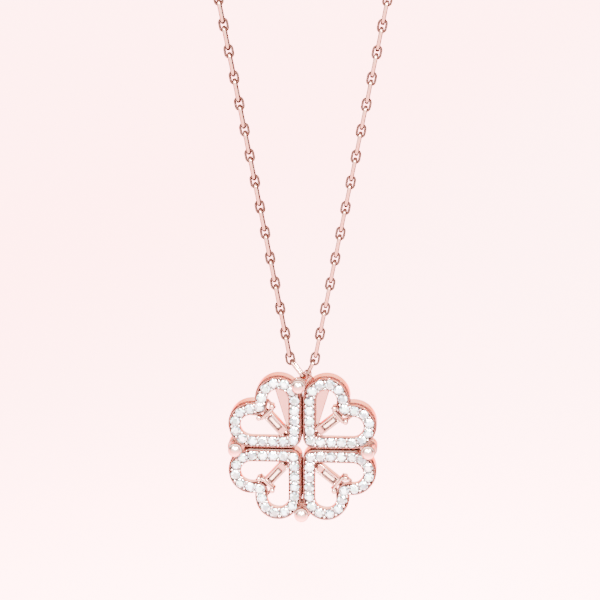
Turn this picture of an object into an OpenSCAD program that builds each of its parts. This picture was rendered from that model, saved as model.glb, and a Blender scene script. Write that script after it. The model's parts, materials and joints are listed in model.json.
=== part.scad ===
// Four leaf clover pendant on a cable chain, hanging as it is worn.
// Millimetres, +Z up. The front of the pendant faces -Y.
// The origin is the top of the chain loop, where it rests at the nape.

/* [Chain] */
// Length of the whole chain loop, clasp included
necklace_len = 450; // [440:5:500]
// Lean of each strand from the vertical, degrees
strand_lean = 11; // [10:0.5:12]
// Outer width of a chain link
link_w = 1.0; // [0.98:0.01:1.04]
// Wire diameter of a chain link
link_wire = 0.25; // [0.24:0.01:0.27]
// Distance from one link to the next
link_pitch = 1.40; // [1.36:0.01:1.44]
// Length that a face-on link lacks and an edge-on link adds
link_step = 0.55; // [0.50:0.01:0.58]
// Separate links in each front strand
front_links = 30; // [24:1:34]
// Free room where two links hook
link_play = 0.13; // [0.12:0.01:0.14]

/* [Clasp] */
// Centreline radius of the clasp ring
clasp_r = 2.2; // [1.8:0.1:2.6]
// Tube diameter of the clasp ring
clasp_tube = 0.9; // [0.8:0.05:1.0]

/* [Hearts] */
// Radius of a heart lobe
lobe_r = 2.55; // [2.50:0.01:2.62]
// Reach of a lobe centre along the straight side, in lobe radii
lobe_part = 2.137; // [2.12:0.001:2.15]
// Gap between the back layers of two hearts
heart_gap = 0.10; // [0.09:0.01:0.16]
// Rounding of the heart point in the middle of the clover
point_r = 1.2; // [1.0:0.05:1.25]
// Depth of a heart from front to back
heart_depth = 2.3; // [2.3:0.05:2.6]
// Depth of the front tray that holds the stones
tray_depth = 0.7; // [0.65:0.05:0.75]
// Step from the back layer in to the front tray
tray_step = 0.12; // [0.08:0.01:0.14]
// Width of the rim on each side of the stones
rim_w = 0.10; // [0.08:0.01:0.12]
// Distance of each hinge beyond the lobe centres
hinge_out = 1.67; // [1.65:0.01:1.70]
// Radius of a hinge ear
ear_r = 0.95; // [0.93:0.01:0.98]
// Radius of the balls on the hinges and on the top ear
ball_r = 0.78; // [0.7:0.01:0.8]

/* [Stones] */
// Diameter of a round stone
stone_d = 1.0; // [0.94:0.01:1.0]
// Round stones in each heart
stone_count = 20; // [20:1:20]
// Width of the baguette stone
baguette_w = 0.48; // [0.4:0.01:0.5]
// Length of the baguette stone
baguette_len = 1.65; // [1.5:0.05:1.7]
// Distance of the baguettes from the middle of the clover
baguette_out = 4.17; // [4.1:0.01:4.24]
// Turn of the left settings from the diagonal, degrees
turn_left = 3; // [0:1:4]
// Turn of the right settings from the diagonal, degrees
turn_right = -6; // [-7:1:0]

/* [Hidden] */
$fn = 48;

gold = [0.86, 0.60, 0.50];
stone_tint = [0.93, 0.95, 0.96];
small = 0.01;
deg = 180 / PI;

// Chain route: a straight leaning strand, then an arc over the nape.
anchor_x = 1.22;
half_len = necklace_len / 2;
lean_cot = cos(strand_lean) / sin(strand_lean);
turn_r = (half_len + anchor_x / sin(strand_lean)) / (lean_cot + (90 + strand_lean) / deg);
straight = (turn_r * cos(strand_lean) - anchor_x) / sin(strand_lean);
apex_z = -turn_r - turn_r * sin(strand_lean) - straight * cos(strand_lean);

// Chain links: ten sides round the loop, five round the wire.
link_len = link_pitch + 2 * link_wire + link_play;
face_len = link_len - link_step;
side_len = link_len + link_step;
link_bow = 5;
link_side = 5;
link_first = (face_len - link_wire) / 2;
strand_dir = [sin(strand_lean), 0, cos(strand_lean)];
strand_side = [cos(strand_lean), 0, -sin(strand_lean)];
strand_foot = [anchor_x, 0, apex_z];

// Back strands: the envelope of the chain, eight sides, closed ends.
last_len = front_links % 2 == 0 ? face_len : side_len;
back_start = link_first + front_links * link_pitch + last_len / 2 + link_play;
back_rings = 40;
back_side = 8;
back_r = link_w / 2 + 0.06;
eye_r = 0.4;
eye_wire = 0.3;
eye_neck = 0.1;
eye_x = clasp_r + clasp_tube / 2 + eye_r + eye_wire / 2 + eye_neck;
clasp_reach = eye_x + eye_r + eye_wire / 2;
back_end = half_len - turn_r * asin((clasp_reach + link_play) / turn_r) / deg;

// Outline of a heart: lobe centres, the cleft and the turn of its walls there.
corner = heart_gap / 2;
lobe_far = lobe_part * lobe_r;
centre_sum = lobe_r + lobe_far;
cleft_at = (centre_sum + sqrt(centre_sum * centre_sum - 2 * lobe_far * lobe_far)) / 2;
cleft_turn = atan2(lobe_far - cleft_at, cleft_at - lobe_r);
cleft_out = sqrt(2) * (corner + cleft_at);
hinge_r = corner + lobe_far + hinge_out;

// Hook of the end links, and the clover with its weight straight below the chain.
hook_z = apex_z + link_wire + link_play;
lug_rise = 0.85;
lug_drop = 1.60;
hang_h = hinge_r + lug_rise + lug_drop;
hang_y = -0.025;
clover_z = hook_z - hang_h;

// End links: hooked in the first face-on link above and in a lug below.
end_wire = 0.27;
end_r = 0.44;
end_bow = 7;
end_side = 6;
lug_z = hook_z - lug_drop;
lug_front_y = -0.61;
lug_back_y = 0.66;
lug_left_x = 0.15;
lug_right_x = 0.5;
lug_r = 0.45;
lug_hole_r = 0.28;
lug_t = 0.22;

// Layers of a heart from front to back.
y_front = -heart_depth / 2;
y_step = y_front + tray_depth;
y_back = heart_depth / 2;
channel_depth = 0.5;
y_floor = y_front + channel_depth;
back_inset = 0.95;
plate_lap = 0.05;
cleft_lap = 0.02;
least_round = 0.05;

// Bands of a heart, each an inset from the outline of the back layer.
stone_gap = 0.04;
channel_w = stone_d + 2 * stone_gap;
in_channel = tray_step + rim_w;
in_stone = in_channel + channel_w / 2;
out_channel = in_channel + channel_w;
in_window = out_channel + rim_w;

// Row of round stones.
row_round = max(point_r - in_stone, least_round);
row_corner = in_stone + row_round;
corner_run = 45 / deg * row_round;
flank = corner_run + lobe_far - row_corner;
lobe_run = (180 + cleft_turn) / deg * (lobe_r - in_stone);
cleft_run = (45 + cleft_turn) / deg * in_stone;
stone_pitch = 2 * (flank + lobe_run + cleft_run) / stone_count;
crown_h = 0.15;
girdle_h = 0.03;
pavilion_h = 0.40;
table_part = 0.56;
girdle_sink = 0.05;
y_girdle = y_front + girdle_sink;
prong_r = 0.12;
prong_off = channel_w / 2 - 0.75 * prong_r;

// Setting of the baguette, along its own length from its middle.
rail_w = 0.24;
stone_room = 0.06;
pocket_w = baguette_w + 2 * stone_room;
setting_w = pocket_w + 2 * rail_w;
pocket_len = baguette_len + 2 * stone_room;
setting_in = 1.57;
setting_out = 1.08;
setting_depth = 1.0;
y_setting = y_front + setting_depth;
pocket_depth = 0.5;
seat_w = 0.36;
seat_len = 1.3;
stem_w = 0.6;
stem_sink = 0.05;
y_stem = y_floor + stem_sink;
reach_in = baguette_out - sqrt(2) * (corner + in_stone);
reach_out = cleft_out - in_stone - baguette_out;
bar_w = 0.34;
bar_half = 0.85;
bead_r = 0.28;
bead_x = 1.5;
bead_y = 0.95;
stalk_w = 0.26;
end_prong_r = 0.13;
end_prong_y = 0.26;
end_prong_rise = 0.1;
bag_depth = 0.42;
bag_crown = 0.10;
bag_girdle = 0.05;
bag_crop = 0.12;
bag_inset = 0.11;
bag_foot = 0.17;
bag_sink = 0.03;

// Magnet housing plate in the two upper hearts.
plate_lean = 0.3;
plate_top = corner + lobe_far + lobe_r;
plate_foot = [0.65 * lobe_r, 0.86 * lobe_r];
plate_head = plate_foot[0] + plate_lean * (plate_top - plate_foot[1]);

// Hinge ears, two to a hinge, one behind the other.
ear_room = 0.06;
ear_split = 0.35;
ear_gap = 0.03;
y_ear = y_step + ear_gap;
bore_r = 0.34;
shaft_r = 0.30;
neck_r = 0.35;
tail_r = 0.5;
tail_h = 0.2;
ball_lift = 0.73;
y_ball = y_front - ball_lift;

// Top ears: the left one in front, the right one behind.
top_ear_r = 0.80;
top_ear_x = 0.35;
top_ear_front = [-1.05, -0.60];
top_ear_back = [0.65, 1.05];

// Shared shapes.

// A flat shape drawn in x and z, from depth y0 to depth y1.
module slab(y0, y1) {
  translate([0, y1, 0])
    rotate([90, 0, 0])
      linear_extrude(height = y1 - y0)
        children();
}

// Places a quadrant of the clover: the sides are 1 or -1.
module quadrant(side_x, side_z) {
  translate([0, hang_y, clover_z])
    mirror([side_x < 0 ? 1 : 0, 0, 0])
      mirror([0, 0, side_z < 0 ? 1 : 0])
        children();
}

// Outline of a heart drawn in its quadrant, inset from the back layer by d.
module heart2d(d) {
  round_r = max(point_r - d, least_round);
  in = d + round_r;
  neck = cleft_at - cleft_lap / 2;
  translate([corner, corner])
    difference() {
      union() {
        polygon([[in, d], [lobe_far, d], [lobe_far, lobe_r], [neck, neck],
                 [lobe_r, lobe_far], [d, lobe_far], [d, in], [in, in]]);
        intersection() {
          translate([in, in])
            circle(r = round_r);
          translate([d, d])
            square([round_r, round_r]);
        }
        translate([lobe_r, lobe_far])
          circle(r = lobe_r - d);
        translate([lobe_far, lobe_r])
          circle(r = lobe_r - d);
      }
      if (d > 0)
        translate([cleft_at, cleft_at])
          circle(r = d + cleft_lap);
    }
}

module band2d(outer, inner) {
  difference() {
    heart2d(outer);
    heart2d(inner);
  }
}

// Half of the row of stones, from the point of the heart to the cleft.
function half_row(s) =
  s < corner_run ?
    let (f = 225 - s / row_round * deg)
      [row_corner + row_round * cos(f), row_corner + row_round * sin(f)]
  : s < flank ? [in_stone, row_corner + s - corner_run]
  : s < flank + lobe_run ?
    let (f = 180 - (s - flank) / (lobe_r - in_stone) * deg)
      [lobe_r + (lobe_r - in_stone) * cos(f), lobe_far + (lobe_r - in_stone) * sin(f)]
  : let (f = 180 - cleft_turn + (s - flank - lobe_run) / in_stone * deg)
      [cleft_at + in_stone * cos(f), cleft_at + in_stone * sin(f)];

function row_side(k) = k <= stone_count / 2 ? half_row(k * stone_pitch)
  : let (p = half_row((stone_count - k) * stone_pitch)) [p[1], p[0]];

function row_at(k) = row_side(k % stone_count) + [corner, corner];

function prong_at(k, side) =
  let (a = row_at(k), b = row_at(k + 1), t = (b - a) / norm(b - a))
    (a + b) / 2 + side * prong_off * [t[1], -t[0]];

// Hearts.

module channel_cut() {
  slab(y_front - 2 * end_prong_rise, y_floor)
    difference() {
      band2d(in_channel, out_channel);
      for (k = [0 : stone_count - 1])
        for (side = [-1, 1])
          translate(prong_at(k, side))
            circle(r = prong_r, $fn = 16);
    }
}

module along_setting(turn) {
  translate([baguette_out / sqrt(2), baguette_out / sqrt(2)])
    rotate(45 + turn)
      children();
}

module setting_body(turn) {
  slab(y_front, y_setting)
    along_setting(turn) {
      translate([-setting_in, -setting_w / 2])
        square([setting_in + setting_out, setting_w]);
      translate([setting_out, -bar_half])
        square([bar_w, 2 * bar_half]);
    }
  slab(y_stem, y_setting)
    along_setting(turn) {
      translate([-reach_in, -stem_w / 2])
        square([reach_in + reach_out, stem_w]);
      for (side = [-1, 1])
        translate([setting_out, side * bead_y - stalk_w / 2])
          square([reach_out - setting_out, stalk_w]);
    }
  slab(y_front - end_prong_rise, y_setting)
    along_setting(turn)
      for (side = [-1, 1])
        translate([-setting_in - end_prong_r / 2, side * end_prong_y])
          circle(r = end_prong_r, $fn = 24);
  slab(y_front, y_setting)
    along_setting(turn)
      for (side = [-1, 1])
        translate([bead_x, side * bead_y])
          circle(r = bead_r, $fn = 24);
}

module setting_pocket(turn) {
  slab(y_front - end_prong_rise, y_front + pocket_depth)
    along_setting(turn)
      translate([-pocket_len / 2, -pocket_w / 2])
        square([pocket_len, pocket_w]);
  slab(y_front, y_setting + small)
    along_setting(turn)
      translate([-seat_len / 2, -seat_w / 2])
        square([seat_len, seat_w]);
}

module housing_plate() {
  slab(y_step, y_back)
    intersection() {
      heart2d(back_inset - plate_lap);
      polygon([[0, 0], plate_foot, [plate_head, plate_top], [0, plate_top]]);
    }
}

// Ears and the room for the neighbour's ear at one hinge.
module ear(kind, place) {
  if (kind == "front")
    slab(y_ear, ear_split - ear_gap)
      translate(place)
        circle(r = ear_r);
  if (kind == "back")
    slab(ear_split + ear_gap, y_back)
      translate(place)
        circle(r = ear_r);
  if (kind == "top_front")
    slab(top_ear_front[0], top_ear_front[1])
      translate([top_ear_x, hinge_r])
        circle(r = top_ear_r);
  if (kind == "top_back")
    slab(top_ear_back[0], top_ear_back[1])
      translate([top_ear_x, hinge_r])
        circle(r = top_ear_r);
}

module ear_clear(kind, place) {
  if (kind == "front")
    slab(ear_split, y_back + small)
      translate(place)
        circle(r = ear_r + ear_room);
  if (kind == "back")
    slab(y_step, ear_split)
      translate(place)
        circle(r = ear_r + ear_room);
}

module ear_bore(kind, place) {
  if (kind == "top_front")
    slab(top_ear_front[0] - small, top_ear_front[1] + small)
      translate([top_ear_x, hinge_r])
        circle(r = bore_r);
  if (kind == "front" || kind == "back")
    slab(y_ear - small, y_back + small)
      translate(place)
        circle(r = bore_r);
}

// Ring plate on the top ear that an end link hooks, and its hole.
module lug(x, y) {
  slab(y - lug_t / 2, y + lug_t / 2)
    translate([x, lug_z - clover_z])
      circle(r = lug_r);
}

module lug_hole(x, ear_y) {
  slab(ear_y[0] - lug_t, ear_y[1] + lug_t)
    translate([x, lug_z - clover_z])
      circle(r = lug_hole_r);
}

module heart_frame(upright, level, turn, plate) {
  on_upright = [0, hinge_r];
  on_level = [hinge_r, 0];
  difference() {
    union() {
      difference() {
        union() {
          slab(y_front, y_step)
            band2d(tray_step, in_window);
          slab(y_step, y_back)
            band2d(0, back_inset);
        }
        ear_clear(upright, on_upright);
        ear_clear(level, on_level);
      }
      if (plate)
        housing_plate();
      ear(upright, on_upright);
      ear(level, on_level);
      setting_body(turn);
    }
    ear_bore(upright, on_upright);
    ear_bore(level, on_level);
    channel_cut();
    setting_pocket(turn);
  }
}

module heart_frame_ul() {
  color(gold)
    quadrant(-1, 1)
      difference() {
        union() {
          heart_frame("top_front", "front", turn_left, true);
          lug(-lug_left_x, lug_front_y);
        }
        lug_hole(-lug_left_x, top_ear_front);
      }
}

module heart_frame_ll() {
  color(gold)
    quadrant(-1, -1)
      heart_frame("front", "back", turn_left, false);
}

module heart_frame_lr() {
  color(gold)
    quadrant(1, -1)
      heart_frame("back", "front", turn_right, false);
}

module heart_frame_ur() {
  color(gold)
    quadrant(1, 1)
      difference() {
        union() {
          heart_frame("top_back", "back", turn_right, true);
          lug(lug_right_x, lug_back_y);
        }
        lug_hole(lug_right_x, top_ear_back);
      }
}

// Stones.

// Rings of points of one cut stone, from the table back to the foot.
function stone_rings(p) = [
  for (i = [0 : 7])
    [p[0] + stone_d / 2 * table_part * cos(45 * i), y_girdle - crown_h,
     p[1] + stone_d / 2 * table_part * sin(45 * i)],
  for (i = [0 : 7])
    [p[0] + stone_d / 2 * cos(45 * i), y_girdle, p[1] + stone_d / 2 * sin(45 * i)],
  for (i = [0 : 7])
    [p[0] + stone_d / 2 * cos(45 * i), y_girdle + girdle_h, p[1] + stone_d / 2 * sin(45 * i)],
  [p[0], y_girdle + girdle_h + pavilion_h, p[1]]
];

function stone_faces(base) = [
  [for (i = [0 : 7]) base + 7 - i],
  for (r = [0, 8])
    for (i = [0 : 7])
      [base + r + i, base + r + (i + 1) % 8, base + r + 8 + (i + 1) % 8, base + r + 8 + i],
  for (i = [0 : 7])
    [base + 16 + i, base + 16 + (i + 1) % 8, base + 24]
];

module pave() {
  polyhedron(
    points = [for (k = [0 : stone_count - 1]) each stone_rings(row_at(k))],
    faces = [for (k = [0 : stone_count - 1]) each stone_faces(25 * k)]);
}

// Octagon of a cropped rectangle, half sizes a and b, at depth y.
function cropped(a, b, crop, y) = [
  [a, y, b - crop], [a - crop, y, b], [crop - a, y, b], [-a, y, b - crop],
  [-a, y, crop - b], [crop - a, y, -b], [a - crop, y, -b], [a, y, crop - b]
];

module baguette(turn) {
  a = baguette_len / 2;
  b = baguette_w / 2;
  y0 = y_front + bag_sink;
  points = concat(
    cropped(a - bag_inset, b - bag_inset, bag_crop / 2, y0),
    cropped(a, b, bag_crop, y0 + bag_crown),
    cropped(a, b, bag_crop, y0 + bag_crown + bag_girdle),
    cropped(a - bag_foot, b - bag_foot, bag_crop / 3, y0 + bag_depth));
  translate([baguette_out / sqrt(2), 0, baguette_out / sqrt(2)])
    rotate([0, -45 - turn, 0])
      polyhedron(points = points, faces = [
        [for (i = [0 : 7]) 7 - i],
        for (r = [0, 8, 16])
          for (i = [0 : 7])
            [r + i, r + (i + 1) % 8, r + 8 + (i + 1) % 8, r + 8 + i],
        [for (i = [0 : 7]) 24 + i]
      ]);
}

module pave_ul() {
  color(stone_tint)
    quadrant(-1, 1)
      pave();
}

module pave_ll() {
  color(stone_tint)
    quadrant(-1, -1)
      pave();
}

module pave_lr() {
  color(stone_tint)
    quadrant(1, -1)
      pave();
}

module pave_ur() {
  color(stone_tint)
    quadrant(1, 1)
      pave();
}

module baguette_ul() {
  color(stone_tint)
    quadrant(-1, 1)
      baguette(turn_left);
}

module baguette_ll() {
  color(stone_tint)
    quadrant(-1, -1)
      baguette(turn_left);
}

module baguette_lr() {
  color(stone_tint)
    quadrant(1, -1)
      baguette(turn_right);
}

module baguette_ur() {
  color(stone_tint)
    quadrant(1, 1)
      baguette(turn_right);
}

// Rivets and the ball on the top ear.

// A ball at the front with a round post behind it, at x and z of the clover.
module ball_post(x, z, post_r, y_end) {
  translate([x, hang_y, clover_z + z]) {
    translate([0, y_ball, 0])
      sphere(r = ball_r);
    translate([0, y_end, 0])
      rotate([90, 0, 0])
        cylinder(r = post_r, h = y_end - y_ball);
  }
}

module rivet(x, z) {
  color(gold)
    union() {
      ball_post(x, z, neck_r, y_ear - ear_gap);
      translate([x, hang_y + y_back + ear_gap, clover_z + z])
        rotate([90, 0, 0])
          cylinder(r = shaft_r, h = y_back + ear_gap - y_ball);
      translate([x, hang_y + y_back + ear_gap + tail_h, clover_z + z])
        rotate([90, 0, 0])
          cylinder(r = tail_r, h = tail_h);
    }
}

module rivet_left() {
  rivet(-hinge_r, 0);
}

module rivet_bottom() {
  rivet(0, -hinge_r);
}

module rivet_right() {
  rivet(hinge_r, 0);
}

module top_ball() {
  color(gold)
    ball_post(-top_ear_x, hinge_r, shaft_r, top_ear_front[1]);
}

// Chain, end links and clasp.

// Angles of the points of one bow and of the wire section at each point.
function bow_angle(b, i, m) = 180 * b - 90 + 180 * i / (m - 1);
function bow_mitre(b, i, m) =
  bow_angle(b, i, m) + (i == 0 ? 45 : i == m - 1 ? -45 : 0) / (m - 1);

// Points of a closed link of length len and width wid round centre c.
function link_points(c, along, across, len, wid, wire, m, w) = [
  for (b = [0, 1])
    for (i = [0 : m - 1])
      for (j = [0 : w - 1])
        let (f = bow_angle(b, i, m), o = bow_mitre(b, i, m),
             r = (wid - wire) / 2, h = (1 - 2 * b) * (len - wid) / 2,
             q = wire / 2 * cos(360 * j / w), n = wire / 2 * sin(360 * j / w))
          c + across * (r * sin(f) + q * sin(o)) + along * (h + r * cos(f) + q * cos(o))
            + cross(across, along) * n
];

// Triangles of a closed tube of n rings with w points each.
function loop_faces(n, w, base) = [
  for (k = [0 : n - 1])
    for (j = [0 : w - 1])
      for (half = [0, 1])
        let (a = base + k * w + j, b = base + k * w + (j + 1) % w,
             d = base + (k + 1) % n * w + j, e = base + (k + 1) % n * w + (j + 1) % w)
          half == 0 ? [a, e, b] : [a, d, e]
];

// Length and side direction of link k: even ones face the front.
function strand_len(k) = k % 2 == 0 ? face_len : side_len;
function strand_across(k) = k % 2 == 0 ? strand_side : [0, 1, 0];

// Links a to b of the strand on the right.
module strand_links(a, b) {
  polyhedron(
    points = [
      for (k = [a : b])
        each link_points(
          strand_foot + strand_dir * (link_first + k * link_pitch),
          strand_dir, strand_across(k),
          strand_len(k), link_w, link_wire, link_bow, link_side)
    ],
    faces = [
      for (k = [0 : b - a])
        each loop_faces(2 * link_bow, link_side, k * 2 * link_bow * link_side)
    ]);
}

// A point of the chain route on the right, s from the foot of the strand.
function route(s) = s < straight
  ? strand_foot + strand_dir * s
  : let (f = (s - straight) / turn_r * deg - strand_lean)
      [turn_r * cos(f), 0, turn_r * sin(f) - turn_r];

// The side direction of the route there.
function route_side(s) = s < straight
  ? strand_side
  : let (f = (s - straight) / turn_r * deg - strand_lean)
      [cos(f), 0, sin(f)];

module back_strand() {
  step = (back_end - back_start) / (back_rings - 1);
  polyhedron(
    points = [
      for (k = [0 : back_rings - 1])
        for (j = [0 : back_side - 1])
          let (s = back_start + k * step, f = 360 * j / back_side)
            route(s) + back_r * (cos(f) * route_side(s) + sin(f) * [0, 1, 0])
    ],
    faces = [
      [for (j = [0 : back_side - 1]) j],
      for (k = [0 : back_rings - 2])
        for (j = [0 : back_side - 1])
          for (half = [0, 1])
            let (a = k * back_side + j, b = k * back_side + (j + 1) % back_side)
              half == 0 ? [a, b + back_side, b] : [a, a + back_side, b + back_side],
      [for (j = [0 : back_side - 1]) back_rings * back_side - 1 - j]
    ]);
}

// An end link from the first link at top down to a lug at foot, seen on edge.
module end_link(top, foot) {
  reach = norm(top - foot);
  along = (top - foot) / reach;
  across = cross(cross(along, [0, 1, 0]), along);
  polyhedron(
    points = link_points((top + foot) / 2, along, across / norm(across),
      reach + end_wire, 2 * end_r + end_wire, end_wire, end_bow, end_side),
    faces = loop_faces(2 * end_bow, end_side, 0));
}

module end_link_left() {
  color(gold)
    end_link([-anchor_x, 0, hook_z], [lug_left_x, hang_y + lug_front_y, lug_z]);
}

module end_link_right() {
  color(gold)
    end_link([anchor_x, 0, hook_z], [lug_right_x, hang_y + lug_back_y, lug_z]);
}

module first_link_left() {
  color(gold)
    mirror([1, 0, 0])
      strand_links(0, 0);
}

module first_link_right() {
  color(gold)
    strand_links(0, 0);
}

module chain_front_left() {
  color(gold)
    mirror([1, 0, 0])
      strand_links(1, front_links);
}

module chain_front_right() {
  color(gold)
    strand_links(1, front_links);
}

module chain_back_left() {
  color(gold)
    mirror([1, 0, 0])
      back_strand();
}

module chain_back_right() {
  color(gold)
    back_strand();
}

module clasp() {
  color(gold)
    union() {
      rotate([90, 0, 0])
        rotate_extrude()
          translate([clasp_r, 0])
            circle(d = clasp_tube);
      for (side = [-1, 1]) {
        translate([side * eye_x, 0, 0])
          rotate_extrude()
            translate([eye_r, 0])
              circle(d = eye_wire);
        translate([side * clasp_r, 0, 0])
          rotate([0, side * 90, 0])
            cylinder(r = eye_wire, h = eye_x - eye_r - clasp_r);
      }
    }
}

// Each piece on its own, or all of them.

heart_frame_ul();
heart_frame_ll();
heart_frame_lr();
heart_frame_ur();
pave_ul();
pave_ll();
pave_lr();
pave_ur();
baguette_ul();
baguette_ll();
baguette_lr();
baguette_ur();
rivet_left();
rivet_bottom();
rivet_right();
top_ball();
end_link_left();
end_link_right();
first_link_left();
first_link_right();
chain_front_left();
chain_front_right();
chain_back_left();
chain_back_right();
clasp();
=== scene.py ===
import bmesh
import bpy
import json
import math
import random
import numpy as np
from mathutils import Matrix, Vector

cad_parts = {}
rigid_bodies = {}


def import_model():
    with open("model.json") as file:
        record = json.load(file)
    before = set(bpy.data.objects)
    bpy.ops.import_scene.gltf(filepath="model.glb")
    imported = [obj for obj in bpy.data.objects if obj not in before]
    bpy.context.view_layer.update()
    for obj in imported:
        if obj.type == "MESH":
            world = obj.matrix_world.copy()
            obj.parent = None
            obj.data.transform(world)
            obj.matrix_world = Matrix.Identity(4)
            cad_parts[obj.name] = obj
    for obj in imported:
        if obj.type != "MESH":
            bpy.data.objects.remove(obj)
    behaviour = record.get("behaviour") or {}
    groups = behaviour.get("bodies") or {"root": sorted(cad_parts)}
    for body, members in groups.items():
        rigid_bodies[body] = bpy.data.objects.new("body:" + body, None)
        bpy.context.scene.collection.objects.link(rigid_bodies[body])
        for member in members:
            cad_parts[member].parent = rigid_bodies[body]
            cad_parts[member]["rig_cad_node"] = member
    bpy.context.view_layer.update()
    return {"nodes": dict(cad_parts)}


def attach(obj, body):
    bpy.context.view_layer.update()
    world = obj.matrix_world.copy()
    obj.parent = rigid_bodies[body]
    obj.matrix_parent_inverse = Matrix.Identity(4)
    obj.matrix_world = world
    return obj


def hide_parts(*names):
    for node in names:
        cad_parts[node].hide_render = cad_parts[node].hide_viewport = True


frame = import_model()
nodes = frame["nodes"]
MM = 0.001

# Sizes that the part's source has too, in mm. Angles of the settings are in degrees.
NECKLACE_LEN, LEAN = 450.0, math.radians(11.0)
LINK_W, LINK_WIRE, LINK_PITCH, LINK_PLAY, LINK_STEP = 1.0, 0.25, 1.40, 0.13, 0.55
FRONT_LINKS = 30
ANCHOR_X, HANG_Y, HINGE_OUT = 1.22, -0.025, 1.67
LUG_RISE, LUG_DROP, LUG_LEFT_X, LUG_RIGHT_X = 0.85, 1.60, 0.15, 0.50
LUG_FRONT_Y, LUG_BACK_Y = -0.61, 0.66
END_R, END_WIRE = 0.44, 0.27
EYE_END, EYE_WIRE = 3.7, 0.3
LOBE_R, LOBE_PART, CORNER, POINT_R = 2.55, 2.137, 0.05, 1.2
TRAY_STEP, RIM_W, Y_FRONT = 0.12, 0.10, -1.15
STONE_D, STONE_COUNT, STONE_GAP = 1.0, 20, 0.04
BAG_W, BAG_LEN, BAG_OUT = 0.48, 1.65, 4.17
TURN_LEFT, TURN_RIGHT = 3.0, -6.0

# Sizes derived from them, as in the source.
HALF = NECKLACE_LEN / 2
TURN_R = (HALF + ANCHOR_X / math.sin(LEAN)) / (1 / math.tan(LEAN) + math.pi / 2 + LEAN)
STRAIGHT = (TURN_R * math.cos(LEAN) - ANCHOR_X) / math.sin(LEAN)
APEX_Z = -TURN_R - TURN_R * math.sin(LEAN) - STRAIGHT * math.cos(LEAN)
HOOK_Z = APEX_Z + LINK_WIRE + LINK_PLAY
LOBE_FAR = LOBE_PART * LOBE_R
HANG_H = CORNER + LOBE_FAR + HINGE_OUT + LUG_RISE + LUG_DROP
CLOVER_Z = HOOK_Z - HANG_H
LUG_Z = HOOK_Z - LUG_DROP
LINK_LEN = LINK_PITCH + 2 * LINK_WIRE + LINK_PLAY
FACE_LEN, SIDE_LEN = LINK_LEN - LINK_STEP, LINK_LEN + LINK_STEP
LINK_FIRST = (FACE_LEN - LINK_WIRE) / 2
CHANNEL_W = STONE_D + 2 * STONE_GAP
IN_STONE = TRAY_STEP + RIM_W + CHANNEL_W / 2


# Mesh helpers. A mesh is a pair of lists, points in mm and faces.

def joined(meshes):
    """Several meshes in one."""
    pts, faces = [], []
    for new_pts, new_faces in meshes:
        base = len(pts)
        pts += new_pts
        faces += [tuple(base + v for v in f) for f in new_faces]
    return pts, faces


def mesh_object(name, mesh, material, body, smooth=False):
    """A mesh in mm, made into an object in metres that rides on a body."""
    pts, faces = mesh
    me = bpy.data.meshes.new(name)
    me.from_pydata([tuple(v) for v in (np.asarray(pts) * MM)], [], faces)
    me.update()
    if smooth:
        me.polygons.foreach_set("use_smooth", [True] * len(me.polygons))
    ob = bpy.data.objects.new(name, me)
    bpy.context.scene.collection.objects.link(ob)
    ob.data.materials.append(material)
    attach(ob, body)
    return ob


def link_mesh(centre, along, across, length, width, wire, flat, bow, side):
    """One closed oval link, wire thick in its plane and flat thick through it."""
    centre, along, across = (np.array(v, float) for v in (centre, along, across))
    normal = np.cross(across, along)
    r, h = (width - wire) / 2, (length - width) / 2
    pts = []
    for half in (0, 1):
        for i in range(bow):
            f = math.pi * half - math.pi / 2 + math.pi * i / (bow - 1)
            out = across * math.sin(f) + along * math.cos(f)
            mid = centre + across * r * math.sin(f) + along * ((1 - 2 * half) * h + r * math.cos(f))
            for j in range(side):
                a = 2 * math.pi * (j + 0.5) / side
                pts.append(mid + wire / 2 * math.cos(a) * out + flat / 2 * math.sin(a) * normal)
    n = 2 * bow
    faces = [(k * side + j, k * side + (j + 1) % side,
              (k + 1) % n * side + (j + 1) % side, (k + 1) % n * side + j)
             for k in range(n) for j in range(side)]
    return pts, faces


def bead(centre, radius, depth, rows, cols):
    """Ball that is round from the front, with its own depth to the front and the back."""
    pts = [(centre[0], centre[1] - depth, centre[2])]
    for i in range(1, rows):
        a = math.pi * i / rows
        for j in range(cols):
            b = 2 * math.pi * j / cols
            pts.append((centre[0] + radius * math.sin(a) * math.cos(b),
                        centre[1] - depth * math.cos(a),
                        centre[2] + radius * math.sin(a) * math.sin(b)))
    pts.append((centre[0], centre[1] + depth, centre[2]))
    faces = [(0, 1 + j, 1 + (j + 1) % cols) for j in range(cols)]
    for i in range(rows - 2):
        for j in range(cols):
            a = 1 + i * cols + j
            b = 1 + i * cols + (j + 1) % cols
            faces.append((a, a + cols, b + cols, b))
    a = 1 + (rows - 2) * cols
    faces += [(a + j, len(pts) - 1, a + (j + 1) % cols) for j in range(cols)]
    return pts, faces


# Rings of a rod's domed end: place along the rod and radius, as parts of the rod's radius.
ROD_END = (-0.9, 0.3), (-0.6, 0.75), (0.0, 1.0)
ROD_SIDES = 12


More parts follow.
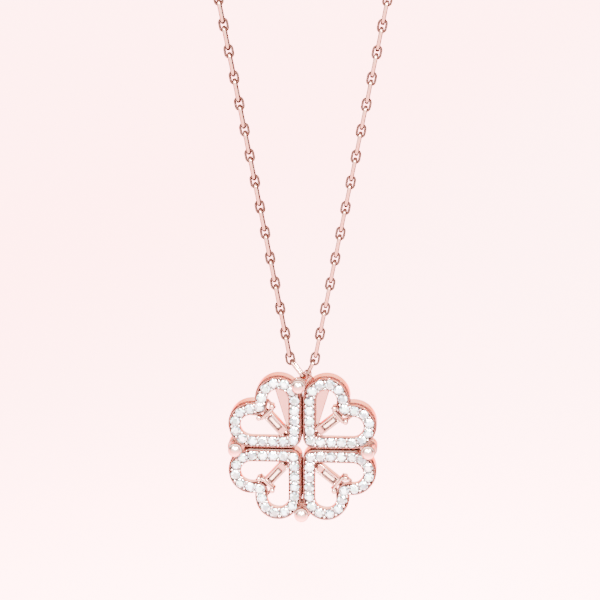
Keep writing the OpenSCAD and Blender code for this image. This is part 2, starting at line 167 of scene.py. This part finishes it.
def rod(p0, p1, radius):
    """Round rod with domed ends between two points."""
    p0, p1 = np.array(p0, float), np.array(p1, float)
    d = (p1 - p0) / np.linalg.norm(p1 - p0)
    a = np.cross(d, [0.0, 1.0, 0.0])
    a /= np.linalg.norm(a)
    b = np.cross(d, a)
    rings = [(p0, o, r) for o, r in ROD_END] + [(p1, -o, r) for o, r in reversed(ROD_END)]
    turns = [2 * math.pi * j / ROD_SIDES for j in range(ROD_SIDES)]
    pts = [p + d * o * radius + (a * math.cos(f) + b * math.sin(f)) * radius * r
           for p, o, r in rings for f in turns]
    n, last = ROD_SIDES, (len(rings) - 1) * ROD_SIDES
    faces = [(k * n + j, k * n + (j + 1) % n, (k + 1) * n + (j + 1) % n, (k + 1) * n + j)
             for k in range(len(rings) - 1) for j in range(n)]
    faces += [tuple(range(n)), tuple(range(last, last + n))]
    return pts, faces


# Node helpers.

def new_material(name):
    m = bpy.data.materials.new(name)
    m.use_nodes = True
    nt = m.node_tree
    return m, nt, nt.nodes["Principled BSDF"]


def add(nt, kind, **values):
    """A new node, with its inputs and settings given by name."""
    n = nt.nodes.new(kind)
    for k, v in values.items():
        if k in n.inputs:
            n.inputs[k].default_value = v
        else:
            setattr(n, k, v)
    return n


def feed(nt, socket, value):
    """Link an output to an input, or set the input to a number or colour."""
    if isinstance(value, bpy.types.NodeSocket):
        nt.links.new(value, socket)
    else:
        socket.default_value = value


def maths(nt, operation, *values):
    n = add(nt, "ShaderNodeMath", operation=operation)
    for socket, value in zip(n.inputs, values):
        feed(nt, socket, value)
    return n.outputs["Value"]


def ramp(nt, value, low, high, start=0.0, end=1.0, shape="SMOOTHSTEP"):
    """A value's span from low to high, mapped to the span from start to end."""
    n = add(nt, "ShaderNodeMapRange", interpolation_type=shape)
    feed(nt, n.inputs["Value"], value)
    for key, v in (("From Min", low), ("From Max", high), ("To Min", start), ("To Max", end)):
        n.inputs[key].default_value = v
    return n.outputs["Result"]


def mix(nt, first, second, factor, data_type="RGBA"):
    """From the first value at factor 0 to the second at factor 1."""
    n = add(nt, "ShaderNodeMix", data_type=data_type)
    for key, v in (("A", first), ("B", second), ("Factor", factor)):
        feed(nt, n.inputs[key], v)
    return n.outputs["Result"]


def noise(nt, vector, **values):
    n = add(nt, "ShaderNodeTexNoise", **values)
    nt.links.new(vector, n.inputs["Vector"])
    return n.outputs["Fac"]


# Materials.

# Tints of the metal seen at a grazing angle.
EDGE_TINT, ROUND_TINT = (0.55, 0.16, 0.11, 1), (0.10, 0.025, 0.018, 1)
# Painted shade: dark tones painted into the recesses and as lines along edges, and the values
# between which they fade: how open to the sky a point is, and how little an edge turns it.
# A line is LINE_W mm wide.
RECESS_SHADE_TONE, RECESS_LOW, RECESS_HIGH, RECESS_ROUGH = (0.06, 0.008, 0.005, 1), 0.15, 0.75, 0.75
LINE_SHADE_TONE, LINE_LOW, LINE_HIGH, LINE_W = (0.050, 0.010, 0.007, 1), 0.975, 0.9995, 0.20
# Part of its front and back polish that a link marked with 1 loses: painted side shade covers that
# link nearly all over.
LINK_SHADE_PART = 0.95
# Clouds of the alloy's tone and the polishing marks. The marks change the roughness between
# two parts of its own value.
TONE_NOISE = {"Scale": 900.0, "Detail": 2.0}
MARK_NOISE, MARK_STRETCH = {"Scale": 5200.0, "Detail": 4.0, "Roughness": 0.6}, (1.0, 1.0, 0.25)
MARK_STRENGTH, MARK_DEPTH = 0.05, 0.00002
SMOOTHEST, ROUGHEST = 0.6, 1.6
BEVEL_SAMPLES, LINE_SAMPLES, RECESS_SAMPLES = 4, 6, 8
# Painted shade: a dark tone painted on the faces turned away from front and back, and the
# facings between which it fades: a facing is 0 on edge and 1 at the front and the back.
WIRE_SIDE_SHADE = (0.030, 0.011, 0.008, 1), 0.80, 0.98
TRIM_SIDE_SHADE = (0.040, 0.009, 0.006, 1), 0.68, 0.94
BALL_SIDE_SHADE = (0.050, 0.012, 0.008, 1), 0.22, 0.60

# Light tone, dark tone and roughness of each copy of the rose gold. Their tones differ as painted
# light: the bead copy is painted much paler, a painted highlight.
FRAME_TONES = (0.93, 0.62, 0.52, 1), (0.85, 0.52, 0.41, 1), 0.12
BALL_TONES = (0.95, 0.66, 0.57, 1), (0.92, 0.60, 0.50, 1), 0.20
BEAD_HIGHLIGHT_TONES = (0.98, 0.84, 0.80, 1), (0.96, 0.80, 0.75, 1), 0.16
WIRE_TONES = (0.92, 0.58, 0.46, 1), (0.84, 0.46, 0.34, 1), 0.18
TRIM_TONES = (0.96, 0.68, 0.56, 1), (0.92, 0.60, 0.48, 1), 0.14


def rose_gold(name, light, dark, rough, rim_tint, recess, edge=0.0, side=None):
    """Polished rose gold: changes of alloy tone, painted shade in recesses, polishing marks, soft
    edges.

    A recess is the reach of the painted shade in corners, in mm.
    An edge is the radius of the rounding of the edges, in mm. They then get a line of painted shade
    too.
    A side paints shade on the faces turned away from front and back, and on links by their painted
    shade value.
    """
    m, nt, p = new_material(name)
    p.inputs["Specular IOR Level"].default_value = 0.0
    p.inputs["Specular Tint"].default_value = rim_tint
    place = add(nt, "ShaderNodeTexCoord").outputs
    tone = mix(nt, light, dark, noise(nt, place["Object"], **TONE_NOISE))
    masks = []
    if side:
        # Painted shade: the side tone goes on faces turned away from front and back, and over
        # marked links.
        side_shade, fade_low, fade_high = side
        axes = add(nt, "ShaderNodeSeparateXYZ")
        nt.links.new(place["Normal"], axes.inputs["Vector"])
        facing = ramp(nt, maths(nt, "ABSOLUTE", axes.outputs["Y"]), fade_low, fade_high)
        link_shade = add(nt, "ShaderNodeAttribute", attribute_name="link_shade").outputs["Fac"]
        masks.append(maths(nt, "MULTIPLY", facing, maths(nt, "MULTIPLY_ADD", link_shade, -LINK_SHADE_PART, 1.0)))
        tone = mix(nt, side_shade, tone, masks[-1])
    if edge:
        # Painted shade: a dark line painted along edges, where the rounded normal turns from the
        # true one.
        turned = add(nt, "ShaderNodeVectorMath", operation="DOT_PRODUCT")
        near = add(nt, "ShaderNodeBevel", samples=LINE_SAMPLES, Radius=LINE_W * MM)
        nt.links.new(near.outputs["Normal"], turned.inputs[0])
        nt.links.new(add(nt, "ShaderNodeNewGeometry").outputs["Normal"], turned.inputs[1])
        masks.append(ramp(nt, turned.outputs["Value"], LINE_LOW, LINE_HIGH))
        tone = mix(nt, LINE_SHADE_TONE, tone, masks[-1])
    # Painted shade: where the AO node finds a recess, the tone turns to the dark recess tone and
    # the metal goes.
    sky = add(nt, "ShaderNodeAmbientOcclusion", samples=RECESS_SAMPLES, Distance=recess * MM)
    metal = open_part = ramp(nt, sky.outputs["AO"], RECESS_LOW, RECESS_HIGH)
    nt.links.new(mix(nt, RECESS_SHADE_TONE, tone, open_part), p.inputs["Base Color"])
    for mask in masks:
        metal = maths(nt, "MULTIPLY", metal, mask)
    nt.links.new(metal, p.inputs["Metallic"])
    stretch = add(nt, "ShaderNodeMapping", Scale=MARK_STRETCH)
    nt.links.new(place["Object"], stretch.inputs["Vector"])
    marks = noise(nt, stretch.outputs["Vector"], **MARK_NOISE)
    worn = ramp(nt, marks, 0.0, 1.0, rough * SMOOTHEST, rough * ROUGHEST, "LINEAR")
    nt.links.new(mix(nt, RECESS_ROUGH, worn, open_part, "FLOAT"), p.inputs["Roughness"])
    bump = add(nt, "ShaderNodeBump", Strength=MARK_STRENGTH, Distance=MARK_DEPTH)
    nt.links.new(marks, bump.inputs["Height"])
    if edge:
        soft = add(nt, "ShaderNodeBevel", samples=BEVEL_SAMPLES, Radius=edge * MM)
        nt.links.new(soft.outputs["Normal"], bump.inputs["Normal"])
    nt.links.new(bump.outputs["Normal"], p.inputs["Normal"])
    return m


# Painted glints: changes of brightness painted across the stones.
FIRE_NOISE, FIRE_LOW, FIRE_HIGH = {"Scale": 2600.0, "Detail": 1.0}, 0.3, 0.7
FIRE_DARK, FIRE_LIGHT = 0.8, 1.1
STONE_ROUGH, STONE_COAT_ROUGH, STONE_CLEAR = 0.03, 0.02, 0.15


def cut_stone(name, ior, painted_glow):
    """Cut stone that glows with its facets' painted reflection tones, from the facet attribute."""
    m, nt, p = new_material(name)
    facet = add(nt, "ShaderNodeAttribute", attribute_name="facet")
    place = add(nt, "ShaderNodeTexCoord").outputs
    fire = noise(nt, place["Object"], **FIRE_NOISE)
    glint = ramp(nt, fire, FIRE_LOW, FIRE_HIGH, FIRE_DARK, FIRE_LIGHT, "LINEAR")
    tint = add(nt, "ShaderNodeMix", data_type="RGBA", blend_type="MULTIPLY")
    for key, v in (("A", facet.outputs["Color"]), ("B", glint), ("Factor", 1.0)):
        feed(nt, tint.inputs[key], v)
    nt.links.new(tint.outputs["Result"], p.inputs["Base Color"])
    # Painted glow: the stones emit their own tones, though they are no lamp.
    nt.links.new(tint.outputs["Result"], p.inputs["Emission Color"])
    for key, v in (("Emission Strength", painted_glow), ("Roughness", STONE_ROUGH), ("IOR", ior),
                   ("Transmission Weight", STONE_CLEAR), ("Coat Weight", 1.0),
                   ("Coat Roughness", STONE_COAT_ROUGH)):
        p.inputs[key].default_value = v
    return m


gold = rose_gold("rose_gold_polished", *FRAME_TONES, EDGE_TINT, recess=0.5, edge=0.05)
gold_ball = rose_gold("rose_gold_ball", *BALL_TONES, ROUND_TINT, recess=0.5, side=BALL_SIDE_SHADE)
gold_bead = rose_gold("rose_gold_bead", *BEAD_HIGHLIGHT_TONES, ROUND_TINT, recess=0.5)
gold_wire = rose_gold("rose_gold_wire", *WIRE_TONES, ROUND_TINT, recess=0.3, side=WIRE_SIDE_SHADE)
gold_trim = rose_gold("rose_gold_trim", *TRIM_TONES, ROUND_TINT, recess=0.35, side=TRIM_SIDE_SHADE)
brilliant_mat = cut_stone("brilliant_clear", ior=2.2, painted_glow=0.30)
baguette_mat = cut_stone("baguette_clear", ior=2.0, painted_glow=0.05)

for name, ob in nodes.items():
    for start, material in (("heart_frame", gold), ("rivet", gold_ball), ("top_ball", gold_ball),
                            ("clasp", gold_wire)):
        if name.startswith(start):
            ob.data.materials.clear()
            ob.data.materials.append(material)


# Chain: every link of the loop, in place of the CAD links and tubes.

# Wire in a link's plane and through it, in mm, and how much longer and wider a link is drawn.
# The links that swing are thinner, so that they clear the strands at the joint's limits.
WIRE_SHOWN, WIRE_FLAT, WIRE_SWUNG, FLAT_SWUNG, END_FLAT = 0.28, 0.44, 0.27, 0.28, 0.42
LINK_GROWN = 0.10
# Points along each bow of a link, and around its wire.
LINK_BOW, LINK_SIDES, END_BOW, END_SIDES = 14, 10, 18, 14
S_EYE = HALF - TURN_R * math.asin(EYE_END / TURN_R)
S_LAST = S_EYE + EYE_WIRE / 2 + LINK_PLAY + WIRE_SHOWN - FACE_LEN / 2
LAST_LINK = 2 * round((S_LAST - LINK_FIRST) / LINK_PITCH / 2)
BACKWARD = np.array([0.0, 1.0, 0.0])


def route(s):
    """Point and direction of the right half of the chain, s mm from its foot."""
    if s < STRAIGHT:
        d = np.array([math.sin(LEAN), 0, math.cos(LEAN)])
        return np.array([ANCHOR_X, 0, APEX_Z]) + d * s, d
    f = (s - STRAIGHT) / TURN_R - LEAN
    return (np.array([TURN_R * math.cos(f), 0, TURN_R * math.sin(f) - TURN_R]),
            np.array([-math.sin(f), 0, math.cos(f)]))


def link_at(k):
    """Place of link k along the chain; the last one hooks the eye of the clasp."""
    if k <= FRONT_LINKS:
        return LINK_FIRST + k * LINK_PITCH
    start = LINK_FIRST + FRONT_LINKS * LINK_PITCH
    return start + (k - FRONT_LINKS) * (S_LAST - start) / (LAST_LINK - FRONT_LINKS)


def chain_links(first, last, mirror, wire, flat):
    """Links from first to the one before last, and the painted shade value of each point.

    The even links are seen face on, and the odd ones on edge.
    """
    links, link_shade = [], []
    for k in range(first, last):
        p, d = route(link_at(k))
        side = np.array([d[2], 0, -d[0]])
        across, length = (side, FACE_LEN) if k % 2 == 0 else (BACKWARD, SIDE_LEN)
        if mirror:
            p, d, across = p * [-1, 1, 1], d * [-1, 1, 1], across * [-1, 1, 1]
        links.append(link_mesh(p, d, across, length + LINK_GROWN, LINK_W + LINK_GROWN,
                               wire, flat, LINK_BOW, LINK_SIDES))
        # Painted shade: face-on links are marked with 1, so the wire's dark side tone covers them.
        link_shade += [1.0 - k % 2] * len(links[-1][0])
    return joined(links), link_shade


for side_name, mirror in (("left", True), ("right", False)):
    for new, cad, body, first, last, wire, flat in (
            ("swung_link", "first_link", "pendant", 0, 1, WIRE_SWUNG, FLAT_SWUNG),
            ("links_front", "chain_front", "chain", 1, FRONT_LINKS + 1, WIRE_SHOWN, WIRE_FLAT),
            ("links_back", "chain_back", "chain", FRONT_LINKS + 1, LAST_LINK + 1,
             WIRE_SHOWN, WIRE_FLAT)):
        mesh, link_shade = chain_links(first, last, mirror, wire, flat)
        ob = mesh_object(f"{new}_{side_name}", mesh, gold_wire, body, True)
        ob.data.attributes.new("link_shade", "FLOAT", "POINT").data.foreach_set("value", link_shade)
        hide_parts(f"{cad}_{side_name}")


def end_link(name, top, foot):
    """Link from the hook of a first link down to a lug, seen on edge."""
    top, foot = np.array(top, float), np.array(foot, float)
    reach = np.linalg.norm(top - foot)
    along = (top - foot) / reach
    across = np.cross(np.cross(along, BACKWARD), along)
    across /= np.linalg.norm(across)
    mesh = link_mesh((top + foot) / 2, along, across, reach + END_WIRE, 2 * END_R + END_WIRE,
                     END_WIRE, END_FLAT, END_BOW, END_SIDES)
    ob = mesh_object(name.replace("end_link", "oblique_link"), mesh, gold_wire, "pendant", True)
    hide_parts(name)


end_link("end_link_left", (-ANCHOR_X, 0, HOOK_Z), (LUG_LEFT_X, HANG_Y + LUG_FRONT_Y, LUG_Z))
end_link("end_link_right", (ANCHOR_X, 0, HOOK_Z), (LUG_RIGHT_X, HANG_Y + LUG_BACK_Y, LUG_Z))


# Places in a heart. u and v run from the middle of the clover, level and upright.

QUADRANTS = {"ul": (-1, 1), "ll": (-1, -1), "lr": (1, -1), "ur": (1, 1)}
ROUND_LEAST = 0.05
SUM = LOBE_R + LOBE_FAR
CLEFT = (SUM + math.sqrt(SUM * SUM - 2 * LOBE_FAR * LOBE_FAR)) / 2
CLEFT_TURN = math.atan2(LOBE_FAR - CLEFT, CLEFT - LOBE_R)
ROW_ROUND = max(POINT_R - IN_STONE, ROUND_LEAST)
ROW_CORNER = IN_STONE + ROW_ROUND
CORNER_RUN = math.pi / 4 * ROW_ROUND
FLANK = CORNER_RUN + LOBE_FAR - ROW_CORNER
LOBE_RUN = (math.pi + CLEFT_TURN) * (LOBE_R - IN_STONE)
CLEFT_RUN = (math.pi / 4 + CLEFT_TURN) * IN_STONE
STONE_PITCH = 2 * (FLANK + LOBE_RUN + CLEFT_RUN) / STONE_COUNT


def row_at(k):
    """Place of stone k: round the point, along the flank, round the lobe, into the cleft."""
    k %= STONE_COUNT
    if k > STONE_COUNT / 2:
        u, v = row_at(STONE_COUNT - k)
        return v, u
    s = k * STONE_PITCH
    r = LOBE_R - IN_STONE
    if s < CORNER_RUN:
        f = math.radians(225) - s / ROW_ROUND
        u, v = ROW_CORNER + ROW_ROUND * math.cos(f), ROW_CORNER + ROW_ROUND * math.sin(f)
    elif s < FLANK:
        u, v = IN_STONE, ROW_CORNER + s - CORNER_RUN
    elif s < FLANK + LOBE_RUN:
        f = math.pi - (s - FLANK) / r
        u, v = LOBE_R + r * math.cos(f), LOBE_FAR + r * math.sin(f)
    else:
        f = math.pi - CLEFT_TURN + (s - FLANK - LOBE_RUN) / IN_STONE
        u, v = CLEFT + IN_STONE * math.cos(f), CLEFT + IN_STONE * math.sin(f)
    return u + CORNER, v + CORNER


def in_heart(quad, u, v, y):
    sx, sz = QUADRANTS[quad]
    return (sx * u, y + HANG_Y, CLOVER_Z + sz * v)


def in_setting(quad, x, z, y):
    """Point of a baguette's setting, x along the stone and z across it."""
    turn = math.radians(45 + (TURN_LEFT if quad in ("ul", "ll") else TURN_RIGHT))
    mid = BAG_OUT / math.sqrt(2)
    return in_heart(quad, mid + x * math.cos(turn) - z * math.sin(turn),
                    mid + x * math.sin(turn) + z * math.cos(turn), y)


# Stones, in place of the CAD stones. A sink is the depth of a stone behind the hearts' front,
# in mm.

# Rings of a brilliant of unit radius: points, radius, depth and turn in parts of a step.
BRILLIANT_RINGS = ((8, 0.56, -0.306, 0), (8, 0.78, -0.17, 0.5), (16, 1.0, 0.0, 0),
                   (16, 1.0, 0.061, 0), (8, 0.30, 0.62, 0.5))
CULET = (0, 0.877, 0)
STONE_SHOWN, STONE_SINK = 1.03, 0.05

# Painted reflections and shade: greys that the facets of a round stone are drawn from, and hues
# with the chance up to each.
TABLE_GREYS = 1.0, 1.0, 0.9, 0.6, 0.3
BREAK_GREYS = 1.0, 1.0, 0.9, 0.6, 0.3, 0.16, 0.08, 0.05
GIRDLE_GREYS = 0.05, 0.08, 0.14, 0.3
GIRDLE_HUE = 0.80, 1.0, 1.05
STONE_HUES = ((0.22, (0.66, 0.95, 0.84)), (0.27, (1.0, 0.80, 0.84)),
              (0.60, (0.70, 0.88, 1.0)), (1.0, (0.96, 0.99, 1.0)))

# Rings of a baguette from the table back, in mm: how far its ends and its sides go in,
# crop of its corners, and depth.
BAGUETTE_RINGS = ((0.17, 0.13, 0.05, 0.0), (0.10, 0.07, 0.08, 0.045), (0.0, 0.0, 0.12, 0.10),
                  (0.0, 0.0, 0.12, 0.15), (0.07, 0.05, 0.09, 0.25), (0.14, 0.12, 0.05, 0.35),
                  (0.19, 0.19, 0.03, 0.42))
BAGUETTE_SINK = 0.03
# Painted reflections and shade of a baguette: table, back, rose hue of the facets, grey of the dark
# end facets and ring, and the other greys.
BAGUETTE_TABLE, BAGUETTE_BACK = (0.90, 0.60, 0.48), (0.8, 0.6, 0.5)
BAGUETTE_HUE, BAGUETTE_DARK, BAGUETTE_GREYS = (1.0, 0.60, 0.48), 0.10, (0.9, 0.6, 0.35)
END_FACETS, DARK_RING = (3, 7), 1

rng = random.Random(7)


def tinted(grey, hue):
    return tuple(grey * part for part in hue)


def brilliant():
    """Round brilliant of unit radius, table to the front."""
    pts = [(r * math.cos(2 * math.pi * (i + off) / n), y, r * math.sin(2 * math.pi * (i + off) / n))
           for n, r, y, off in BRILLIANT_RINGS for i in range(n)] + [CULET]
    # First point of each ring: table, crown, girdle's front and back, pavilion, culet.
    t, m, g, b, n, c = 0, 8, 16, 32, 48, 56
    table = [tuple(range(8))]
    breaks = []
    for i in range(8):
        j, h = (i + 1) % 8, (i - 1) % 8
        near, mid, far = 2 * i, 2 * i + 1, (2 * i + 2) % 16
        breaks += [(t + i, m + i, t + j), (t + i, m + h, g + near, m + i),
                   (m + i, g + near, g + mid), (m + i, g + mid, g + far),
                   (n + i, b + mid, b + near), (n + i, b + far, b + mid),
                   (c, n + i, b + near, n + h)]
    girdle = [(g + i, b + i, b + (i + 1) % 16, g + (i + 1) % 16) for i in range(16)]
    return pts, table, breaks, girdle


def painted_facet_colours(ob, tones):
    """One painted reflection colour for each face, in the facet attribute."""
    attr = ob.data.color_attributes.new("facet", "FLOAT_COLOR", "CORNER")
    data = np.zeros((len(ob.data.loops), 4), np.float32)
    for poly, tone in zip(ob.data.polygons, tones):
        data[poly.loop_start:poly.loop_start + poly.loop_total] = (*tone, 1)
    attr.data.foreach_set("color", data.ravel())


def painted_facet_tone(greys):
    """Painted reflection tone of one table or break facet of a round stone."""
    grey, chance = rng.choice(greys), rng.random()
    return next(tinted(grey, hue) for limit, hue in STONE_HUES if chance < limit)


def pave(quad):
    """Row of round stones in a heart, each turned its own way."""
    unit, table, breaks, girdle = brilliant()
    r = STONE_SHOWN / 2
    stones, tones = [], []
    for k in range(STONE_COUNT):
        spin = rng.random() * math.pi / 4
        c, s = math.cos(spin), math.sin(spin)
        pts = []
        for x, y, z in unit:
            x, z = c * x - s * z, s * x + c * z
            px, py, pz = in_heart(quad, *row_at(k), Y_FRONT + STONE_SINK + r * y)
            pts.append((px + r * x, py, pz + r * z))
        stones.append((pts, table + breaks + girdle))
        # Painted reflections: each facet gets its own grey and hue.
        tones += [painted_facet_tone(TABLE_GREYS)]
        tones += [painted_facet_tone(BREAK_GREYS) for facet in breaks]
        tones += [tinted(rng.choice(GIRDLE_GREYS), GIRDLE_HUE) for facet in girdle]
    ob = mesh_object(f"brilliants_{quad}", joined(stones), brilliant_mat, "pendant", False)
    painted_facet_colours(ob, tones)
    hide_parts(f"pave_{quad}")


def baguette(quad):
    """Step cut baguette with crown steps, a girdle and pavilion steps."""
    pts = []
    for in_length, in_width, crop, y in BAGUETTE_RINGS:
        a, b = BAG_LEN / 2 - in_length, BAG_W / 2 - in_width
        for x, z in ((a, b - crop), (a - crop, b), (crop - a, b), (-a, b - crop),
                     (-a, crop - b), (crop - a, -b), (a - crop, -b), (a, crop - b)):
            pts.append(in_setting(quad, x, z, Y_FRONT + BAGUETTE_SINK + y))
    faces, tones = [tuple(range(8))], [BAGUETTE_TABLE]
    for r in range(len(BAGUETTE_RINGS) - 1):
        for i in range(8):
            j = (i + 1) % 8
            faces.append((r * 8 + i, r * 8 + 8 + i, r * 8 + 8 + j, r * 8 + j))
            # Painted shade on the end facets and one ring; painted reflection greys on the rest.
            dark = i in END_FACETS or r == DARK_RING
            grey = BAGUETTE_DARK if dark else rng.choice(BAGUETTE_GREYS)
            tones.append(tinted(grey, BAGUETTE_HUE))
    faces.append(tuple(range(len(pts) - 8, len(pts))))
    tones.append(BAGUETTE_BACK)
    ob = mesh_object(f"step_cut_{quad}", (pts, faces), baguette_mat, "pendant", False)
    painted_facet_colours(ob, tones)
    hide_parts(f"baguette_{quad}")


# Prongs, claws, beads and rails, in mm. A ball has a radius, a depth, and rows and columns
# of points. A rise is its height before the hearts' front.

PRONG, PRONG_SIDE, PRONG_RISE = (0.15, 0.12, 6, 10), 0.40, 0.01
BACK_CLAW, BACK_CLAW_X, CLAW_Z, CLAW_RISE = (0.15, 0.12, 8, 14), -1.60, 0.26, 0.04
FRONT_CLAW, FRONT_CLAW_X = (0.14, 0.11, 8, 14), 1.0
BEAD, BEAD_X, BEAD_Z, BEAD_RISE = (0.30, 0.24, 12, 20), 1.50, 0.95, 0.02
RAIL_R, RAIL_Z, RAIL_BACK_X, RAIL_FRONT_X = 0.085, 0.42, -1.50, 1.02
BAR_R, BAR_X, BAR_HALF = 0.13, 1.25, 0.80


def prong_beads(quad):
    """Two small beads between each two round stones."""
    beads = []
    for k in range(STONE_COUNT):
        a, b = np.array(row_at(k)), np.array(row_at(k + 1))
        t = (b - a) / np.linalg.norm(b - a)
        for side in (-1, 1):
            u, v = (a + b) / 2 + side * PRONG_SIDE * np.array([t[1], -t[0]])
            beads.append(bead(in_heart(quad, u, v, Y_FRONT - PRONG_RISE), *PRONG))
    mesh_object(f"prong_beads_{quad}", joined(beads), gold_bead, "pendant", True)


def setting_trim(quad):
    """Rounded rails and bar on the setting, its claws, and the two beads by the cleft."""
    trim = []
    for side in (-1, 1):
        trim.append(rod(in_setting(quad, RAIL_BACK_X, side * RAIL_Z, Y_FRONT),
                        in_setting(quad, RAIL_FRONT_X, side * RAIL_Z, Y_FRONT), RAIL_R))
        for x, z, rise, size in ((BACK_CLAW_X, CLAW_Z, CLAW_RISE, BACK_CLAW),
                                 (FRONT_CLAW_X, CLAW_Z, CLAW_RISE, FRONT_CLAW),
                                 (BEAD_X, BEAD_Z, BEAD_RISE, BEAD)):
            trim.append(bead(in_setting(quad, x, side * z, Y_FRONT - rise), *size))
    trim.append(rod(in_setting(quad, BAR_X, -BAR_HALF, Y_FRONT),
                    in_setting(quad, BAR_X, BAR_HALF, Y_FRONT), BAR_R))
    mesh_object(f"setting_trim_{quad}", joined(trim), gold_trim, "pendant", True)


for quad in QUADRANTS:
    pave(quad)
    prong_beads(quad)
    baguette(quad)
    setting_trim(quad)

# Outward normals on every new mesh.
for ob in list(bpy.data.objects):
    if ob.type == "MESH" and "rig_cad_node" not in ob:
        bm = bmesh.new()
        bm.from_mesh(ob.data)
        bmesh.ops.recalc_face_normals(bm, faces=bm.faces)
        bm.to_mesh(ob.data)
        bm.free()


# Studio floor, in metres: glows more behind the object than before it, and gets pinker
# to the left and the back.

FLOOR_HALF, FLOOR_DROP = 2.5, 0.040
FLOOR_FRONT_GLOW, FLOOR_BACK_GLOW, GLOW_START, GLOW_END = 3.0, 10.0, -0.02, 0.05
FLOOR_TONE, FLOOR_PINK, FLOOR_ROUGH = (1.0, 0.45, 0.46, 1), (1.0, 0.33, 0.34, 1), 0.35
PINK_SLANT, PINK_START, PINK_END = -4.0, -0.1, 0.7

floor_mat, nt, p = new_material("studio_floor")
p.inputs["Roughness"].default_value = FLOOR_ROUGH
axes = add(nt, "ShaderNodeSeparateXYZ")
nt.links.new(add(nt, "ShaderNodeTexCoord").outputs["Object"], axes.inputs["Vector"])
slant = maths(nt, "MULTIPLY_ADD", axes.outputs["X"], PINK_SLANT, axes.outputs["Y"])
floor_tone = mix(nt, FLOOR_TONE, FLOOR_PINK, ramp(nt, slant, PINK_START, PINK_END))
nt.links.new(floor_tone, p.inputs["Base Color"])
nt.links.new(floor_tone, p.inputs["Emission Color"])
glow = ramp(nt, axes.outputs["Y"], GLOW_START, GLOW_END, FLOOR_FRONT_GLOW, FLOOR_BACK_GLOW)
nt.links.new(glow, p.inputs["Emission Strength"])
floor_me = bpy.data.meshes.new("floor")
floor_me.from_pydata([(x * FLOOR_HALF, y * FLOOR_HALF, CLOVER_Z * MM - FLOOR_DROP)
                      for x, y in ((-1, -1), (1, -1), (1, 1), (-1, 1))], [], [(0, 1, 2, 3)])
floor = bpy.data.objects.new("floor", floor_me)
bpy.context.scene.collection.objects.link(floor)
floor.data.materials.append(floor_mat)


# Surroundings: light from the front, the top and the back, and a little from all sides.

WORLD_TONE, WORLD_LEAST = (1.0, 0.93, 0.91, 1), 0.12
# Axis of each light, where along the axis it starts and is full, and its strength.
WORLD_LIGHTS = ("Y", -0.10, -0.55, 2.8), ("Z", 0.55, 0.85, 1.2), ("Y", 0.55, 0.90, 7.0)

world = bpy.data.worlds.new("studio")
bpy.context.scene.world = world
world.use_nodes = True
nt = world.node_tree
background = nt.nodes["Background"]
axes = add(nt, "ShaderNodeSeparateXYZ")
nt.links.new(add(nt, "ShaderNodeTexCoord").outputs["Generated"], axes.inputs["Vector"])
total = WORLD_LEAST
for axis, start, full, strength in WORLD_LIGHTS:
    total = maths(nt, "ADD", ramp(nt, axes.outputs[axis], start, full, 0.0, strength), total)
nt.links.new(total, background.inputs["Strength"])
background.inputs["Color"].default_value = WORLD_TONE


# Spotlights on the pendant. Angles are in degrees, lengths in metres.

# They aim at a point SPOT_AIM above the middle of the clover.
SPOT_DIST, SPOT_CONE, SPOT_BLEND, SPOT_POWER, SPOT_AIM = 0.45, 18, 0.6, 45.0, 0.018
# Name, azimuth, elevation, radius of the lamp, and colour.
SPOTS = (("light_left", -35, 50, 0.05, (1.0, 0.98, 0.97)),
         ("light_right", 40, 45, 0.05, (1.0, 0.97, 0.96)),
         ("light_front", 5, 30, 0.03, (1.0, 0.98, 0.97)))


def heading(azimuth, elevation):
    """Direction from the object to a light or camera, 0 degrees being the front."""
    return Vector((math.sin(azimuth) * math.cos(elevation),
                   -math.cos(azimuth) * math.cos(elevation), math.sin(elevation)))


def turn_to(ob, direction):
    ob.rotation_mode = "QUATERNION"
    ob.rotation_quaternion = direction.to_track_quat("-Z", "Y")


for name, azimuth, elevation, softness, colour in SPOTS:
    data = bpy.data.lights.new(name, "SPOT")
    data.spot_size = math.radians(SPOT_CONE)
    data.spot_blend = SPOT_BLEND
    data.shadow_soft_size = softness
    data.energy = SPOT_POWER
    data.color = colour
    ob = bpy.data.objects.new(name, data)
    towards = heading(math.radians(azimuth), math.radians(elevation))
    ob.location = Vector((0, 0, CLOVER_Z * MM + SPOT_AIM)) + towards * SPOT_DIST
    turn_to(ob, -towards)
    bpy.context.scene.collection.objects.link(ob)


# Camera at the photograph's angle and distance.

LENS, SENSOR, CLIP_START, CLIP_END = 135.0, 36.0, 0.01, 20.0
AZ, EL = math.radians(4.0), math.radians(12.5)
# Width of the photograph in pixels, and mm to a pixel at the front of the hearts.
VIEW_PX, PX_MM = 600, 0.108
# Middle of the view from the front of the clover's middle, in mm.
VIEW_RIGHT, VIEW_UP = -0.2, 16.15

camera_data = bpy.data.cameras.new("camera")
camera_data.lens = LENS
camera_data.sensor_width = SENSOR
camera_data.clip_start, camera_data.clip_end = CLIP_START, CLIP_END
camera = bpy.data.objects.new("camera", camera_data)
bpy.context.scene.collection.objects.link(camera)
back = heading(AZ, EL)
right = Vector((math.cos(AZ), math.sin(AZ), 0))
up = Vector((-math.sin(AZ) * math.sin(EL), math.cos(AZ) * math.sin(EL), math.cos(EL)))
target = Vector((0, Y_FRONT + HANG_Y, CLOVER_Z)) + right * VIEW_RIGHT + up * VIEW_UP
camera.location = (target + back * (VIEW_PX * PX_MM / SENSOR * LENS)) * MM
turn_to(camera, -back)
bpy.context.scene.camera = camera
